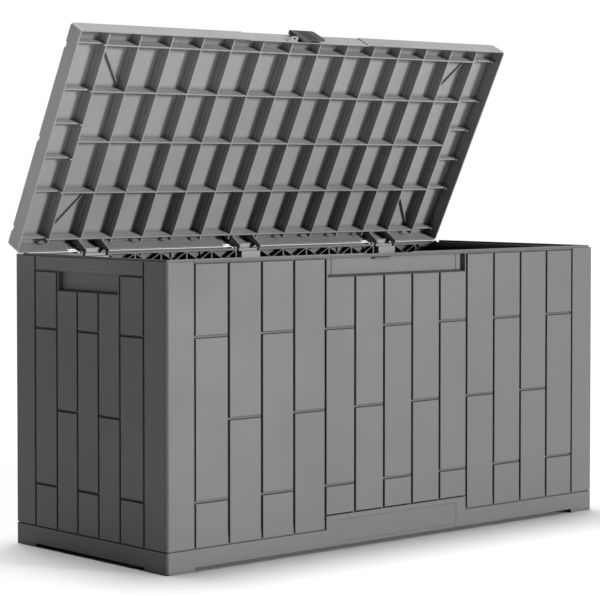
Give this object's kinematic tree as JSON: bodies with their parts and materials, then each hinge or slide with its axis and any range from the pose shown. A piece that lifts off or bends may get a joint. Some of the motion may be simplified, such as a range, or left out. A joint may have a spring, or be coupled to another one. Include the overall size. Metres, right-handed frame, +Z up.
{
  "type": "deck storage box",
  "caption": "Large resin deck storage box with moulded plank walls, side handle pockets, a ribbed hinged lid standing open and a front latch.",
  "frame": {"origin": "on the ground, under the middle of the box's footprint, at the face of the centre floor pad", "axes": "+Z up, +X along the length to the right when facing the front, +Y from the front to the back"},
  "size_m": [1.21, 0.5251, 1.0591],
  "materials": {
    "grey_resin": "matte",
    "lid_resin": "matte",
    "dark_resin": "matte",
    "steel": "satin",
    "pin_steel": "satin"
  },
  "bodies": {
    "box": {"base_frame": "grey_resin", "floor_panel": "grey_resin", "front_panel": "grey_resin", "back_panel": "grey_resin", "left_side_panel": "grey_resin", "right_side_panel": "grey_resin", "panel_screws": "steel", "strike_plate": "grey_resin", "strike_screws": "steel", "hinge_block_left": "grey_resin", "hinge_block_centre": "grey_resin", "hinge_block_right": "grey_resin", "hinge_screws": "steel"},
    "lid": {"lid": "lid_resin", "hinge_pin_left": "pin_steel", "hinge_pin_centre": "pin_steel", "hinge_pin_right": "pin_steel"},
    "latch": {"latch_lever": "dark_resin", "latch_pin": "steel"}
  },
  "joints": [
    {"name": "lid_hinge", "type": "hinge", "parent": "box", "child": "lid", "pos_m": [0, 0.2455, 0.5955], "axis": [-1, 0, 0], "range_deg": [-63, 37]},
    {"name": "latch_hinge", "type": "hinge", "parent": "lid", "child": "latch", "pos_m": [0, 0.04775, 1.05254], "axis": [-1, 0, 0], "range_deg": [0, 90]}
  ]
}
